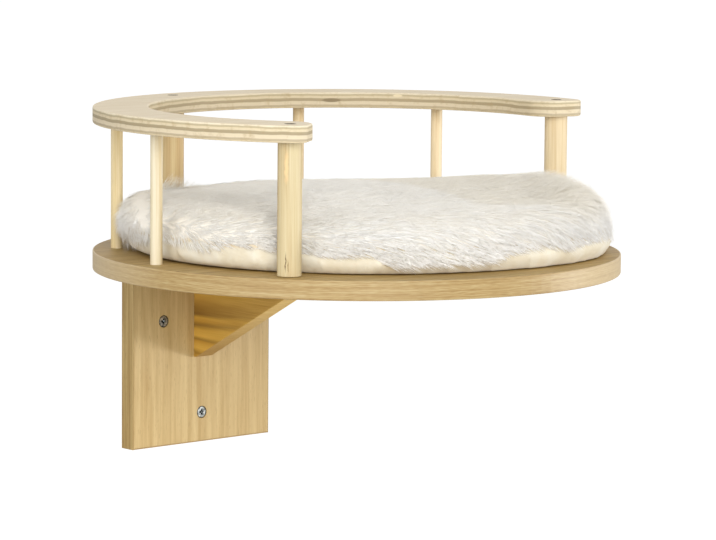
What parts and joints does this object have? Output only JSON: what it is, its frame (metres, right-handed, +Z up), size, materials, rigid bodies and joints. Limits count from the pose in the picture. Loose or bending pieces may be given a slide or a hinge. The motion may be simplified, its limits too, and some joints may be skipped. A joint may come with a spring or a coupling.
{
  "type": "wall-mounted cat bed",
  "caption": "Round board on a wall plate and triangular bracket, with a plywood guard rail on posts that is open at the front and a loose plush cushion.",
  "frame": {"origin": "middle of the wall plate's back face, on the wall", "axes": "+Y into the wall, +Z up, +X to the right for someone who faces the wall; the bed stands out to -Y"},
  "size_m": [0.42, 0.4505, 0.2943],
  "materials": {
    "oak board": "satin oak-grain laminate",
    "edge strip": "satin oak-grain print",
    "plywood": "sanded pale veneer with layered edges",
    "post wood": "sanded pale pine",
    "bracket pine": "sanded golden pine",
    "screws": "bright zinc plating",
    "cushion plush": "long white plush over a cream base"
  },
  "bodies": {
    "frame": {"back_post": "post wood", "bracket_screw_lower": "screws", "bracket_screw_upper": "screws", "dowel_left_front": "post wood", "dowel_left_rear": "post wood", "dowel_right_front": "post wood", "dowel_right_rear": "post wood", "end_post_left": "post wood", "end_post_right": "post wood", "guard_rail": "plywood", "plate_band_foot": "edge strip", "plate_band_left": "edge strip", "plate_band_right": "edge strip", "platform": "oak board", "platform_edge_band": "edge strip", "platform_screw_inner": "screws", "platform_screw_outer": "screws", "post_screw_back": "screws", "post_screw_left": "screws", "post_screw_right": "screws", "rail_screw_back": "screws", "rail_screw_left": "screws", "rail_screw_right": "screws", "support_bracket": "bracket pine", "wall_plate": "oak board", "wall_screw_foot": "screws", "wall_screw_left": "screws", "wall_screw_right": "screws"},
    "cushion": {"cushion": "cushion plush"}
  },
  "joints": [
    {"name": "cushion_lift", "type": "slide", "parent": "frame", "child": "cushion", "axis": [0, 0, 1], "range_m": [0, 0.04]}
  ]
}
